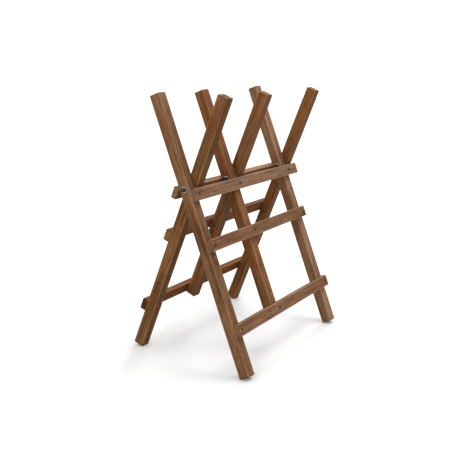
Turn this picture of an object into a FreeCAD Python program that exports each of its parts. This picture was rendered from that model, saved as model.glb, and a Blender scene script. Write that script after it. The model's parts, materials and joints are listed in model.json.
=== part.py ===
import FreeCAD
import Part

import math
import os

import Sketcher

# A folding horse for sawing logs: two timber frames crossed and bolted so that they open
# into three X shapes. X runs along the rails, Y across the feet, and Z is up.
# The origin is on the floor under the middle of the whole horse. Millimetres and degrees.

SIZES = {
    # Legs, square in section
    "leg_side": 45.0,
    "leg_edge_radius": 3.0,
    "leg_above_pivot": 378.0,
    "leg_below_pivot": 746.0,
    "leg_gap": 1.0,
    "lean_angle": 21.6,
    # Rails, screwed to the outer faces of the legs
    "rail_thickness": 24.0,
    "rail_height": 48.0,
    "rail_edge_radius": 2.0,
    "top_rail_drop": 8.0,
    "middle_rail_drop": 208.0,
    "bottom_rail_drop": 541.0,
    # Joint planes of the three pairs of legs, along X
    "near_joint": -360.0,
    "middle_joint": -67.0,
    "far_joint": 360.0,
    # Wood screws, 5 x 60
    "screw_head_radius": 5.0,
    "screw_head_rim": 0.5,
    "screw_shank_radius": 1.8,
    "screw_thread_radius": 2.45,
    "screw_length": 60.0,
    "screw_smooth_length": 26.0,
    "screw_point": 6.0,
    "screw_sink": 1.2,
    "drive_radius": 2.5,
    "drive_depth": 2.4,
    "screw_hole": 5.4,
    "screw_sink_hole": 10.4,
    "screw_pilot": 5.0,
    "screw_pilot_depth": 38.0,
    # Pivot bolts, M10 x 110 with a domed head and a square neck
    "bolt_radius": 5.0,
    "bolt_length": 110.0,
    "bolt_end_chamfer": 1.2,
    "bolt_head_radius": 12.0,
    "bolt_head_height": 5.3,
    "bolt_neck_side": 9.9,
    "bolt_neck_length": 6.6,
    "bolt_bore": 10.1,
    "neck_recess_side": 10.0,
    "neck_recess_depth": 6.8,
    # Nuts and washers
    "nut_flats": 17.0,
    "nut_height": 8.4,
    "nut_bore_radius": 5.05,
    "washer_radius": 12.5,
    "washer_bore_radius": 5.25,
    "washer_thickness": 2.0,
    "washer_chamfer": 0.3,
}

PAIRS = ("near", "middle", "far")
RAILS = ("top", "middle", "bottom")
SIDES = {"front": 1, "rear": -1}

COSINE = "cos(Sizes.lean_angle * 1 deg)"
SINE = "sin(Sizes.lean_angle * 1 deg)"

# How far above the pivot line, along a leg, the sides of the V meet
V_FOOT = "Sizes.leg_side / 2 / tan(Sizes.lean_angle * 1 deg)"


def derived_sizes():
    """The pivot's height, with the feet's inner edges on the floor, and the centring shift along X."""
    lean = math.radians(SIZES["lean_angle"])
    height = SIZES["leg_below_pivot"] * math.cos(lean) + SIZES["leg_side"] / 2 * math.sin(lean)
    nut_end = SIZES["bolt_length"] - SIZES["leg_side"] - SIZES["leg_gap"] / 2
    low = SIZES["near_joint"] - nut_end
    high = SIZES["far_joint"] + SIZES["leg_gap"] / 2 + SIZES["leg_side"] + SIZES["bolt_head_height"]
    return {"pivot_height": height, "centring": -(low + high) / 2}


def make_sheet(doc):
    """A spreadsheet with one named number in each row."""
    sheet = doc.addObject("Spreadsheet::Sheet", "Sizes")
    rows = {**SIZES, **derived_sizes()}
    for row, (name, value) in enumerate(rows.items(), 1):
        sheet.set(f"A{row}", name)
        sheet.set(f"B{row}", repr(value))
        sheet.setAlias(f"B{row}", name)
    doc.recompute()
    return sheet


def size(name):
    """The expression for a row of the spreadsheet."""
    return f"Sizes.{name}"


def joint_x(pair, side, place):
    """Where a leg lies along X, with place 0 at its joint face, 1 at its outer face and 0.5 between."""
    inward = f"{size(pair + '_joint')} + Sizes.centring"
    step = f"(Sizes.leg_gap / 2 + Sizes.leg_side * {place})"
    return f"{inward} - {step}" if side == "front" else f"{inward} + {step}"


# Bodies, sketches and features


def new_body(doc, label):
    """An empty body with its own label, which may hold several separate solids."""
    body = doc.addObject("PartDesign::Body", label)
    body.Label = label
    body.AllowCompound = True
    return body


def place_in_frame(body, side, x, across, along):
    """Put a body on a leaning frame, across and along being measured from the pivot line."""
    lean = SIZES["lean_angle"]
    if side == "front":
        turn = FreeCAD.Rotation(FreeCAD.Vector(1, 0, 0), -lean)
    else:
        tilt = FreeCAD.Rotation(FreeCAD.Vector(1, 0, 0), lean)
        turn = tilt * FreeCAD.Rotation(FreeCAD.Vector(0, 0, 1), 180)
    body.Placement = FreeCAD.Placement(FreeCAD.Vector(0, 0, 0), turn)
    sign = SIDES[side]
    rise = f"({along}) * {COSINE} - ({across}) * {SINE}"
    body.setExpression("Placement.Base.x", x)
    body.setExpression("Placement.Base.y", f"{sign} * (({across}) * {COSINE} + ({along}) * {SINE})")
    body.setExpression("Placement.Base.z", f"Sizes.pivot_height + {rise}")


def new_sketch(body, name, role, offset=None, shift=None):
    """A sketch on one of the body's own planes, moved off it and along its first axis."""
    sketch = body.newObject("Sketcher::SketchObject", name)
    plane = next(item for item in body.Origin.OriginFeatures if item.Role == role)
    sketch.AttachmentSupport = [(plane, "")]
    sketch.MapMode = "FlatFace"
    if offset:
        sketch.setExpression("AttachmentOffset.Base.z", offset)
    if shift:
        sketch.setExpression("AttachmentOffset.Base.x", shift)
    return sketch


def bind(sketch, kind, element, point, expression):
    """Hold a point at a distance from the sketch's origin that follows the spreadsheet."""
    index = sketch.addConstraint(Sketcher.Constraint(kind, -1, 1, element, point, 1.0))
    sketch.setExpression(f"Constraints[{index}]", expression)


def hold_point(sketch, element, point, across, up):
    """Tie a point to two expressions, or to an axis where one is None."""
    if across is None:
        sketch.addConstraint(Sketcher.Constraint("PointOnObject", element, point, -2))
    else:
        bind(sketch, "DistanceX", element, point, across)
    if up is None:
        sketch.addConstraint(Sketcher.Constraint("PointOnObject", element, point, -1))
    else:
        bind(sketch, "DistanceY", element, point, up)


def draw_polygon(sketch, corners):
    """A closed run of straight lines through corners given as pairs of expressions."""
    count = len(corners)
    start = sketch.GeometryCount
    turns = [2 * math.pi * number / count for number in range(count)]
    points = [FreeCAD.Vector(10 * math.cos(turn), 10 * math.sin(turn), 0) for turn in turns]
    for number in range(count):
        line = Part.LineSegment(points[number], points[(number + 1) % count])
        sketch.addGeometry(line, False)
    for number in range(count):
        following = start + (number + 1) % count
        sketch.addConstraint(Sketcher.Constraint("Coincident", start + number, 2, following, 1))
    for number, (across, up) in enumerate(corners):
        hold_point(sketch, start + number, 1, across, up)


def draw_rectangle(sketch, left, right, low, high):
    """A closed rectangle between four expressions."""
    draw_polygon(sketch, [(left, low), (right, low), (right, high), (left, high)])


def draw_circle(sketch, diameter, across=None, up=None):
    """A circle with its centre held by expressions, or on the axes."""
    circle = Part.Circle(FreeCAD.Vector(1, 1, 0), FreeCAD.Vector(0, 0, 1), 2.0)
    element = sketch.addGeometry(circle, False)
    index = sketch.addConstraint(Sketcher.Constraint("Diameter", element, 4.0))
    sketch.setExpression(f"Constraints[{index}]", diameter)
    hold_point(sketch, element, 3, across, up)


def settle(body, feature):
    """Make a feature the body's last and work it out, leaving level faces divided as they were drawn."""
    feature.Refine = False
    body.Tip = feature
    body.Document.recompute()
    return feature


def pad(body, sketch, name, length, backwards=False):
    """Extrude a sketch by an expression."""
    feature = body.newObject("PartDesign::Pad", name)
    feature.Profile = sketch
    feature.Reversed = backwards
    feature.setExpression("Length", length)
    return settle(body, feature)


def pocket(body, sketch, name, depth=None, backwards=False):
    """Cut a sketch into the body, right through where no depth is given, and check that it cut."""
    before = body.Shape.Volume
    feature = body.newObject("PartDesign::Pocket", name)
    feature.Profile = sketch
    feature.Reversed = backwards
    if depth is None:
        feature.Type = "ThroughAll"
        feature.Midplane = True
    else:
        feature.Type = "Length"
        feature.setExpression("Length", depth)
    settle(body, feature)
    if body.Shape.Volume > before - 1.0:
        raise RuntimeError(f"{body.Label}: {name} cut nothing")
    return feature


def revolve(body, sketch, name):
    """Turn a sketch round its own upright axis."""
    feature = body.newObject("PartDesign::Revolution", name)
    feature.Profile = sketch
    feature.ReferenceAxis = (sketch, ["V_Axis"])
    feature.Angle = 360.0
    return settle(body, feature)


def round_long_edges(body, base, name, radius, count):
    """Ease the long edges of a piece of timber, and check how many there are."""
    edges = enumerate(base.Shape.Edges, 1)
    long_edges = [f"Edge{number}" for number, edge in edges if edge.Length > 100]
    if len(long_edges) != count:
        raise RuntimeError(f"{body.Label}: {len(long_edges)} long edges")
    feature = body.newObject("PartDesign::Fillet", name)
    feature.Base = (base, long_edges)
    feature.setExpression("Radius", radius)
    return settle(body, feature)


# Timber


def screw_along(rail):
    """How far below the pivot line a rail's screws are, along the legs."""
    return f"-({size(rail + '_rail_drop')} + Sizes.rail_height / 2)"


def make_leg(doc, side, pair):
    """A square leg with its pivot bore and screw holes, its local Z running up the leg and -Y outwards."""
    body = new_body(doc, f"{side}_leg_{pair}")
    half = "Sizes.leg_side / 2"
    below = "(Sizes.bottom_rail_drop + Sizes.rail_height)" if pair == "middle" else "Sizes.leg_below_pivot"

    # Drawn in two lengths that meet at the foot of the V, so that the log's side of it is a face of its own
    lower = ("lower", f"-{below}", f"{below} + {V_FOOT}")
    upper = ("upper", V_FOOT, f"Sizes.leg_above_pivot - {V_FOOT}")
    for part, start, length in (lower, upper):
        section = new_sketch(body, f"{body.Name}_{part}_section", "XY_Plane", offset=start)
        draw_rectangle(section, f"-{half}", half, f"-{half}", half)
        blank = pad(body, section, f"{body.Name}_{part}_blank", length)
    round_long_edges(body, blank, f"{body.Name}_eased", "Sizes.leg_edge_radius", 8)

    bore = new_sketch(body, f"{body.Name}_bore_circle", "YZ_Plane")
    draw_circle(bore, "Sizes.bolt_bore")
    pocket(body, bore, f"{body.Name}_bore")

    if side == "rear":
        neck = new_sketch(body, f"{body.Name}_neck_square", "YZ_Plane", offset=f"-{half}")
        reach = "Sizes.neck_recess_side / 2"
        draw_rectangle(neck, f"-{reach}", reach, f"-{reach}", reach)
        pocket(body, neck, f"{body.Name}_neck_recess", "Sizes.neck_recess_depth", backwards=True)

    pilots = new_sketch(body, f"{body.Name}_pilot_circles", "XZ_Plane", offset=half)
    for rail in RAILS:
        draw_circle(pilots, "Sizes.screw_pilot", up=screw_along(rail))
    pocket(body, pilots, f"{body.Name}_pilots", "Sizes.screw_pilot_depth")

    place_in_frame(body, side, joint_x(pair, side, 0.5), "0", "0")
    return body


def rail_span(side, rail):
    """Where a rail starts, on the outer face of its own end leg, and how long it is."""
    end_leg = "near" if side == "front" else "far"
    start = joint_x(end_leg, side, 1)
    if rail == "top":
        length = "Sizes.far_joint - Sizes.near_joint + Sizes.leg_gap + 2 * Sizes.leg_side"
    else:
        length = "Sizes.far_joint - Sizes.near_joint + Sizes.leg_side"
    return start, length


def screw_place(side, pair):
    """How far a leg's middle is from its frame's own end face, along the rail."""
    first = "near" if side == "front" else "far"
    if side == "front":
        between = f"{size(pair + '_joint')} - {size(first + '_joint')}"
    else:
        between = f"{size(first + '_joint')} - {size(pair + '_joint')}"
    return f"({between} + Sizes.leg_side / 2)"


def place_on_legs(body, side, rail):
    """Put a rail or its screws on the outer faces of the legs, with the rail's lower edge as local zero."""
    start = rail_span(side, rail)[0]
    along = f"-({size(rail + '_rail_drop')} + Sizes.rail_height)"
    place_in_frame(body, side, start, "-Sizes.leg_side / 2", along)


def make_rail(doc, side, rail):
    """A rail with three counterbored and countersunk screw holes, its local X running along it."""
    body = new_body(doc, f"{side}_{rail}_rail")
    length = rail_span(side, rail)[1]
    section = new_sketch(body, f"{body.Name}_section", "YZ_Plane")
    draw_rectangle(section, "-Sizes.rail_thickness", None, None, "Sizes.rail_height")
    blank = pad(body, section, f"{body.Name}_blank", length)
    round_long_edges(body, blank, f"{body.Name}_eased", "Sizes.rail_edge_radius", 4)

    centres = new_sketch(body, f"{body.Name}_screw_circles", "XZ_Plane", offset="Sizes.rail_thickness")
    middle = "Sizes.rail_height / 2"
    for pair in PAIRS:
        draw_circle(centres, "Sizes.screw_hole", across=screw_place(side, pair), up=middle)
    doc.recompute()
    before = body.Shape.Volume
    hole = body.newObject("PartDesign::Hole", f"{body.Name}_screw_holes")
    hole.Profile = centres
    hole.Threaded = False
    hole.DepthType = "ThroughAll"
    hole.setExpression("Diameter", "Sizes.screw_hole")
    hole.HoleCutType = "Counterdrill"
    hole.HoleCutCustomValues = True
    hole.setExpression("HoleCutDiameter", "Sizes.screw_sink_hole")
    rim_end = "Sizes.screw_sink + Sizes.screw_head_rim"
    hole.setExpression("HoleCutDepth", f"{rim_end} - (Sizes.screw_sink_hole / 2 - Sizes.screw_head_radius)")
    hole.HoleCutCountersinkAngle = 90.0
    settle(body, hole)
    if body.Shape.Volume > before - 1.0:
        raise RuntimeError(f"{body.Label}: the screw holes cut nothing")

    place_on_legs(body, side, rail)
    return body


# Fasteners


def draw_screw_half(sketch):
    """Half of a countersunk wood screw, its head's flat sunk in the rail and its point in the leg."""
    head = "(Sizes.screw_sink - Sizes.rail_thickness)"
    rim = f"({head} + Sizes.screw_head_rim)"
    cone_end = f"({rim} + Sizes.screw_head_radius - Sizes.screw_shank_radius)"
    thread_start = f"({head} + Sizes.screw_smooth_length)"
    tip = f"({head} + Sizes.screw_length)"
    draw_polygon(
        sketch,
        [
            (None, head),
            ("Sizes.screw_head_radius", head),
            ("Sizes.screw_head_radius", rim),
            ("Sizes.screw_shank_radius", cone_end),
            ("Sizes.screw_shank_radius", thread_start),
            ("Sizes.screw_thread_radius", thread_start),
            ("Sizes.screw_thread_radius", f"{tip} - Sizes.screw_point"),
            (None, tip),
        ],
    )


def make_screws(doc, side, rail):
    """The three screws of a rail, each a solid of its own, in the rail's local frame."""
    body = new_body(doc, f"{side}_{rail}_rail_screws")
    for pair in PAIRS:
        half = new_sketch(
            body,
            f"{body.Name}_{pair}_half",
            "XY_Plane",
            offset="Sizes.rail_height / 2",
            shift=screw_place(side, pair),
        )
        draw_screw_half(half)
        revolve(body, half, f"{body.Name}_{pair}")

    head = "Sizes.rail_thickness - Sizes.screw_sink"
    drive = new_sketch(body, f"{body.Name}_drive", "XZ_Plane", offset=head)
    for pair in PAIRS:
        corners = []
        for number in range(6):
            turn = math.radians(60 * number)
            across = f"{screw_place(side, pair)} + Sizes.drive_radius * {math.cos(turn):.6f}"
            up = f"Sizes.rail_height / 2 + Sizes.drive_radius * {math.sin(turn):.6f}"
            corners.append((across, up))
        draw_polygon(drive, corners)
    pocket(body, drive, f"{body.Name}_drive_recess", "Sizes.drive_depth")

    place_on_legs(body, side, rail)
    return body


def face_along_x(obj, x):
    """Stand a turned part on the pivot line with its local Z along X, square to the rear frame."""
    tilt = FreeCAD.Rotation(FreeCAD.Vector(1, 0, 0), SIZES["lean_angle"])
    turn = tilt * FreeCAD.Rotation(FreeCAD.Vector(0, 1, 0), 90)
    obj.Placement = FreeCAD.Placement(FreeCAD.Vector(0, 0, 0), turn)
    obj.setExpression("Placement.Base.x", x)
    obj.setExpression("Placement.Base.z", "Sizes.pivot_height")


def draw_dome_half(sketch):
    """Half of the domed head, an arc from the crown to the rim and two straight sides."""
    radius = SIZES["bolt_head_radius"]
    height = SIZES["bolt_head_height"]
    depth = (radius**2 - height**2) / (2 * height)
    ball = Part.Circle(FreeCAD.Vector(0, -depth, 0), FreeCAD.Vector(0, 0, 1), height + depth)
    rim_turn = math.atan2(depth, radius)
    arc = sketch.addGeometry(Part.ArcOfCircle(ball, rim_turn, math.pi / 2), False)
    rim = FreeCAD.Vector(radius, 0, 0)
    crown = FreeCAD.Vector(0, height, 0)
    middle = FreeCAD.Vector(0, 0, 0)
    upright = sketch.addGeometry(Part.LineSegment(crown, middle), False)
    flat = sketch.addGeometry(Part.LineSegment(middle, rim), False)
    sketch.addConstraint(Sketcher.Constraint("Coincident", arc, 2, upright, 1))
    sketch.addConstraint(Sketcher.Constraint("Coincident", upright, 2, flat, 1))
    sketch.addConstraint(Sketcher.Constraint("Coincident", flat, 2, arc, 1))
    sketch.addConstraint(Sketcher.Constraint("Coincident", upright, 2, -1, 1))
    sketch.addConstraint(Sketcher.Constraint("PointOnObject", arc, 3, -2))
    sketch.addConstraint(Sketcher.Constraint("Vertical", upright))
    sketch.addConstraint(Sketcher.Constraint("Horizontal", flat))
    bind(sketch, "DistanceX", arc, 1, "Sizes.bolt_head_radius")
    bind(sketch, "DistanceY", arc, 2, "Sizes.bolt_head_height")


def make_bolt(doc, pair):
    """A coach bolt, its local zero under the head and its shank running down local Z."""
    body = new_body(doc, f"pivot_bolt_{pair}")
    dome = new_sketch(body, f"{body.Name}_dome", "XZ_Plane")
    draw_dome_half(dome)
    revolve(body, dome, f"{body.Name}_head")

    neck = new_sketch(body, f"{body.Name}_neck_square", "XY_Plane")
    reach = "Sizes.bolt_neck_side / 2"
    draw_rectangle(neck, f"-{reach}", reach, f"-{reach}", reach)
    pad(body, neck, f"{body.Name}_neck", "Sizes.bolt_neck_length", backwards=True)

    shank = new_sketch(body, f"{body.Name}_shank_half", "XZ_Plane")
    narrow = "Sizes.bolt_radius - Sizes.bolt_end_chamfer"
    draw_polygon(
        shank,
        [
            (None, "-Sizes.bolt_neck_length"),
            (None, "-Sizes.bolt_length"),
            (narrow, "-Sizes.bolt_length"),
            ("Sizes.bolt_radius", "-Sizes.bolt_length + Sizes.bolt_end_chamfer"),
            ("Sizes.bolt_radius", "-Sizes.bolt_neck_length"),
        ],
    )
    revolve(body, shank, f"{body.Name}_shank")
    face_along_x(body, joint_x(pair, "rear", 1))
    return body


def make_nut(doc, pair):
    """A hexagon nut with both ends chamfered, its local zero on its outer end."""
    label = f"pivot_nut_{pair}"
    prism = doc.addObject("Part::Prism", f"{label}_hexagon")
    prism.Polygon = 6
    prism.setExpression("Circumradius", "Sizes.nut_flats / sqrt(3)")
    prism.setExpression("Height", "Sizes.nut_height")

    narrow = "Sizes.nut_flats * 0.475"
    wide = f"{narrow} + Sizes.nut_height / 2 * sqrt(3)"
    lower = doc.addObject("Part::Cone", f"{label}_lower_cone")
    upper = doc.addObject("Part::Cone", f"{label}_upper_cone")
    for cone, first, second in ((lower, narrow, wide), (upper, wide, narrow)):
        cone.setExpression("Radius1", first)
        cone.setExpression("Radius2", second)
        cone.setExpression("Height", "Sizes.nut_height / 2")
    upper.setExpression("Placement.Base.z", "Sizes.nut_height / 2")
    cones = doc.addObject("Part::MultiFuse", f"{label}_cones")
    cones.Shapes = [lower, upper]

    chamfered = doc.addObject("Part::MultiCommon", f"{label}_chamfered")
    chamfered.Shapes = [prism, cones]
    bore = doc.addObject("Part::Cylinder", f"{label}_bore")
    bore.setExpression("Radius", "Sizes.nut_bore_radius")
    bore.setExpression("Height", "Sizes.nut_height")
    nut = doc.addObject("Part::Cut", label)
    nut.Label = label
    nut.Base = chamfered
    nut.Tool = bore
    outer_face = joint_x(pair, "front", 1)
    face_along_x(nut, f"{outer_face} - Sizes.washer_thickness - Sizes.nut_height")
    return nut


def make_washer(doc, pair):
    """A wide flat washer between the nut and the front leg, its rims lightly chamfered."""
    body = new_body(doc, f"nut_washer_{pair}")
    half = new_sketch(body, f"{body.Name}_half", "XZ_Plane")
    bore = "Sizes.washer_bore_radius"
    rim = "Sizes.washer_radius"
    cut = "Sizes.washer_chamfer"
    top = "Sizes.washer_thickness"
    draw_polygon(
        half,
        [
            (bore, None),
            (f"{rim} - {cut}", None),
            (rim, cut),
            (rim, f"{top} - {cut}"),
            (f"{rim} - {cut}", top),
            (bore, top),
        ],
    )
    revolve(body, half, f"{body.Name}_ring")
    face_along_x(body, f"{joint_x(pair, 'front', 1)} - Sizes.washer_thickness")
    return body


# Checks and files


def check_document(doc):
    """Stop if any object is in error."""
    for obj in doc.Objects:
        if "Invalid" in obj.State or "Error" in obj.State:
            raise RuntimeError(f"{obj.Label}: {obj.State}")


def export(nodes):
    """Write each node, after checking its shape."""
    os.makedirs("parts", exist_ok=True)
    for node in nodes:
        shape = node.Shape
        if shape.isNull() or not shape.isValid():
            raise RuntimeError(f"{node.Label}: not a valid shape")
        shape.exportStep(f"parts/{node.Label}.step")
        print(f"{node.Label}: {len(shape.Solids)} solid(s), {shape.Volume / 1000:.2f} cm3")


def main():
    doc = FreeCAD.newDocument("folding_sawhorse")
    make_sheet(doc)
    nodes = []
    for side in SIDES:
        nodes += [make_leg(doc, side, pair) for pair in PAIRS]
        nodes += [make_rail(doc, side, rail) for rail in RAILS]
        nodes += [make_screws(doc, side, rail) for rail in RAILS]
    for pair in PAIRS:
        nodes += [make_bolt(doc, pair), make_nut(doc, pair), make_washer(doc, pair)]
    doc.recompute()
    check_document(doc)
    export(nodes)


main()
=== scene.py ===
"""Looks for a folding log horse: stained softwood frames, zinc-plated pivots and sunk screws."""

import json
import logging
import math
from collections.abc import Callable, Sequence
from dataclasses import dataclass, field
from enum import Enum

import bmesh
import bpy
from mathutils import Matrix, Vector


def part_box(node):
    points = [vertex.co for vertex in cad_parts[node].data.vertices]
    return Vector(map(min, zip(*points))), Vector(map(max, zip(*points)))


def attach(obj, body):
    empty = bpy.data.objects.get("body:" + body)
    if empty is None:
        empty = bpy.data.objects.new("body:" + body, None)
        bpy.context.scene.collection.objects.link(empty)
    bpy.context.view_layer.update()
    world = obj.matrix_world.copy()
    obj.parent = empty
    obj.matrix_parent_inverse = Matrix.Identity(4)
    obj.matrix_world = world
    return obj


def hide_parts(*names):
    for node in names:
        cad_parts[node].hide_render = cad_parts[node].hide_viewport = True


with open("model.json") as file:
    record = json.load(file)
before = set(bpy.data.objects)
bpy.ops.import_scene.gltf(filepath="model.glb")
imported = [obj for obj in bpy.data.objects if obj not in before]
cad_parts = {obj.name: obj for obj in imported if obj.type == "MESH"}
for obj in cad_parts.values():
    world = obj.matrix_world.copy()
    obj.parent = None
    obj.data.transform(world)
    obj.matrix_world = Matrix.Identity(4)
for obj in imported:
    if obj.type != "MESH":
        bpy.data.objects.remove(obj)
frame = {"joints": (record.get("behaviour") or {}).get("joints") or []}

log = logging.getLogger("log_horse")

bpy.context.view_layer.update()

Colour = tuple[float, float, float, float]


# Named choices


class Side(Enum):
    """The two frames, by the side their feet stand on."""

    FRONT = "front"
    REAR = "rear"


class Pair(Enum):
    """The three pairs of crossed legs, by where they stand along the rails."""

    NEAR = "near"
    MIDDLE = "middle"
    FAR = "far"


class Level(Enum):
    """The three rails of a frame."""

    TOP = "top"
    MIDDLE = "middle"
    BOTTOM = "bottom"


class Through(Enum):
    """The way across a board: from face to face, or from edge to edge."""

    X = 0
    Y = 1


# Shader sockets as numbers


def math_method(operation: str, swapped: bool = False) -> Callable[..., "Signal"]:
    """Makes a method of Signal that adds one Math node.

    Args:
        operation: The node's operation.
        swapped: Whether the other value comes first, as it does in 1 - mask.

    Returns:
        The method.
    """

    def method(signal: "Signal", other: "Signal | float" = 0.0) -> "Signal":
        """The operation on this signal and another value."""
        first, second = (other, signal) if swapped else (signal, other)
        return signal.graph.node("ShaderNodeMath", {"operation": operation}, {0: first, 1: second})

    return method


class Signal:
    """A shader socket that takes part in sums, each of which adds a Math node."""

    def __init__(self, graph: "Graph", socket: bpy.types.NodeSocket | None) -> None:
        """Keeps the graph and the socket."""
        self.graph = graph
        self.socket = socket

    __add__ = math_method("ADD")
    __radd__ = math_method("ADD", swapped=True)
    __sub__ = math_method("SUBTRACT")
    __rsub__ = math_method("SUBTRACT", swapped=True)
    __mul__ = math_method("MULTIPLY")
    __rmul__ = math_method("MULTIPLY", swapped=True)
    __truediv__ = math_method("DIVIDE")
    __rtruediv__ = math_method("DIVIDE", swapped=True)
    __pow__ = math_method("POWER")
    __rpow__ = math_method("POWER", swapped=True)
    __abs__ = math_method("ABSOLUTE")
    smaller = math_method("MINIMUM")
    larger = math_method("MAXIMUM")
    # What is left above the last whole number
    above_whole = math_method("FRACT")
    # The angle of a point whose height is this and whose width is the other
    turn_from = math_method("ARCTAN2")

    def step(self, low: float, high: float) -> "Signal":
        """A smooth step from 0 to 1.

        Args:
            low: Where the step is still 0.
            high: Where it has reached 1. It may be the smaller of the two.

        Returns:
            The step, between 0 and 1.
        """
        if low > high:
            return 1.0 - self.step(high, low)
        sockets = {"Value": self, "From Min": low, "From Max": high}
        return self.graph.node("ShaderNodeMapRange", {"interpolation_type": "SMOOTHSTEP"}, sockets)

    def other_output(self, name: str) -> "Signal":
        """Another output of the same node."""
        return Signal(self.graph, self.socket.node.outputs[name])


Input = Signal | float | tuple


class Graph:
    """The node graph of one material."""

    def __init__(self, name: str) -> None:
        """Starts a material with an empty graph.

        Args:
            name: The material's name.
        """
        self.material = bpy.data.materials.new(name)
        self.material.use_nodes = True
        self.tree = self.material.node_tree
        self.tree.nodes.clear()

    def node(
        self,
        kind: str,
        settings: dict[str, object] | None = None,
        sockets: dict[str | int, Input] | None = None,
        output: str | int = 0,
    ) -> Signal:
        """Adds one node.

        Args:
            kind: The node's type.
            settings: Its own settings, set first.
            sockets: Values or links for its inputs, by name or number.
            output: The output wanted.

        Returns:
            That output, or an empty signal from a node that has none.
        """
        made = self.tree.nodes.new(kind)
        for key, value in (settings or {}).items():
            setattr(made, key, value)
        for key, value in (sockets or {}).items():
            if isinstance(value, Signal):
                self.tree.links.new(value.socket, made.inputs[key])
            else:
                made.inputs[key].default_value = value
        return Signal(self, made.outputs[output] if len(made.outputs) else None)

    def split(self, vector: Signal) -> tuple[Signal, Signal, Signal]:
        """The three numbers of a vector."""
        first = self.node("ShaderNodeSeparateXYZ", None, {0: vector})
        return first, first.other_output("Y"), first.other_output("Z")

    def stretched(self, vector: Signal, scale: tuple[float, float, float]) -> Signal:
        """A vector with each of its numbers multiplied."""
        return self.node("ShaderNodeVectorMath", {"operation": "MULTIPLY"}, {0: vector, 1: scale})

    def noise(self, vector: Signal, seed: float, detail: float = 2.0, roughness: float = 0.5) -> Signal:
        """Soft noise from 0 to 1, about 0.5 in the middle.

        Args:
            vector: Where to read it, with one bump to each unit.
            seed: Which noise it is.
            detail: How many finer layers it has.
            roughness: How strong those layers are.

        Returns:
            The noise as a number. Its "Color" output has three unlike ones.
        """
        sockets = {"Vector": vector, "W": seed, "Scale": 1.0, "Detail": detail, "Roughness": roughness}
        return self.node("ShaderNodeTexNoise", {"noise_dimensions": "4D"}, sockets)

    def blend(self, amount: Input, first: Input, second: Input, way: str = "MIX") -> Signal:
        """One colour over another.

        Args:
            amount: How much of the second shows.
            first: The colour underneath.
            second: The colour on top.
            way: How they are joined.

        Returns:
            The colour.
        """
        settings = {"data_type": "RGBA", "blend_type": way, "clamp_factor": True}
        return self.node("ShaderNodeMix", settings, {0: amount, 6: first, 7: second}, output=2)

    def tinted(self, colour: Signal, tint: Input) -> Signal:
        """A colour multiplied by another."""
        return self.blend(1.0, colour, tint, "MULTIPLY")

    def bump(self, strength: float, distance: float, height: Signal) -> Signal:
        """A normal that rises and falls with a height."""
        sockets = {"Strength": strength, "Distance": distance, "Height": height}
        return self.node("ShaderNodeBump", None, sockets)

    def surface(self, sockets: dict[str | int, Input]) -> bpy.types.Material:
        """Ends the graph with one Principled surface.

        Args:
            sockets: The surface's values and links.

        Returns:
            The finished material.
        """
        shader = self.node("ShaderNodeBsdfPrincipled", None, sockets)
        self.node("ShaderNodeOutputMaterial", None, {"Surface": shader})
        return self.material


# Finishes


@dataclass(frozen=True)
class Knot:
    """A knot in a board: where it comes out, its radius, and which way it runs through, in metres."""

    along: float
    across: float
    radius: float
    way: Through


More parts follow.
